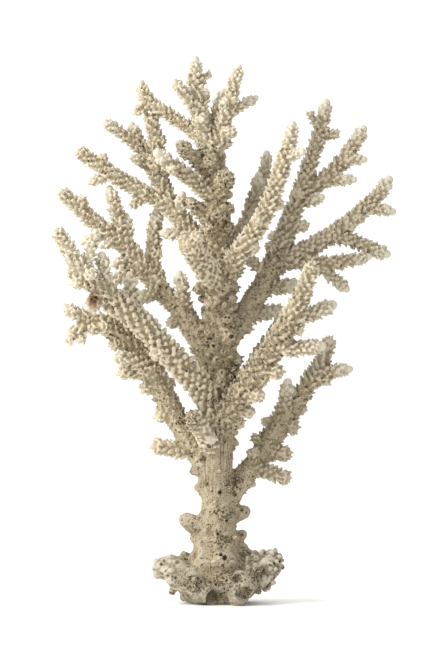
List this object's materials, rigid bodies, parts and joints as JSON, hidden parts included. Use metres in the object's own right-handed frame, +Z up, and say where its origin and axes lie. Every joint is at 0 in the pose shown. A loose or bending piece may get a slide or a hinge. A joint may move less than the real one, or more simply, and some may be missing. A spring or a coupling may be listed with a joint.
{
  "type": "dried branching coral colony",
  "caption": "Dried bushy branching stony coral colony: an upright trunk with forking knobbly limbs above a lobed holdfast that is cut flat underneath.",
  "frame": {"origin": "on the flat cut under the holdfast, below the foot of the trunk", "axes": "+Z up along the trunk, -Y towards the side that is seen from the front, +X to the right of that view"},
  "size_m": [0.1887, 0.1047, 0.3011],
  "materials": {
    "branch_skeleton": "matt, porous calcium carbonate, cream with whiter tips",
    "holdfast_skeleton": "matt, pitted calcium carbonate, cream to grey-tan"
  },
  "bodies": {
    "root": {"holdfast": "holdfast_skeleton", "lower_trunk": "branch_skeleton", "middle_trunk": "branch_skeleton", "upper_trunk": "branch_skeleton", "crown_left": "branch_skeleton", "crown_right": "branch_skeleton", "upper_left_spray": "branch_skeleton", "left_front_spur": "branch_skeleton", "front_spur": "branch_skeleton", "upper_left_limb": "branch_skeleton", "upper_left_outer_fork": "branch_skeleton", "upper_left_rear_fork": "branch_skeleton", "upper_left_upright_fork": "branch_skeleton", "left_limb": "branch_skeleton", "left_outer_fork": "branch_skeleton", "left_upright_fork": "branch_skeleton", "front_left_limb": "branch_skeleton", "front_left_outer_fork": "branch_skeleton", "lower_left_limb": "branch_skeleton", "lower_left_low_fork": "branch_skeleton", "lower_left_outer_fork": "branch_skeleton", "inner_right_limb": "branch_skeleton", "rear_right_spires": "branch_skeleton", "right_limb": "branch_skeleton", "right_upright_fork": "branch_skeleton", "right_middle_fork": "branch_skeleton", "right_outer_fork": "branch_skeleton", "right_low_fork": "branch_skeleton", "front_right_limb": "branch_skeleton", "rear_right_low_limb": "branch_skeleton", "lower_right_limb": "branch_skeleton", "low_front_spur": "branch_skeleton", "rear_low_limb": "branch_skeleton", "rear_left_limb": "branch_skeleton", "rear_middle_limb": "branch_skeleton", "rear_crown": "branch_skeleton", "right_rear_fork": "branch_skeleton", "left_rear_fork": "branch_skeleton", "lower_left_rear_fork": "branch_skeleton", "lower_right_rear_fork": "branch_skeleton"}
  },
  "joints": []
}
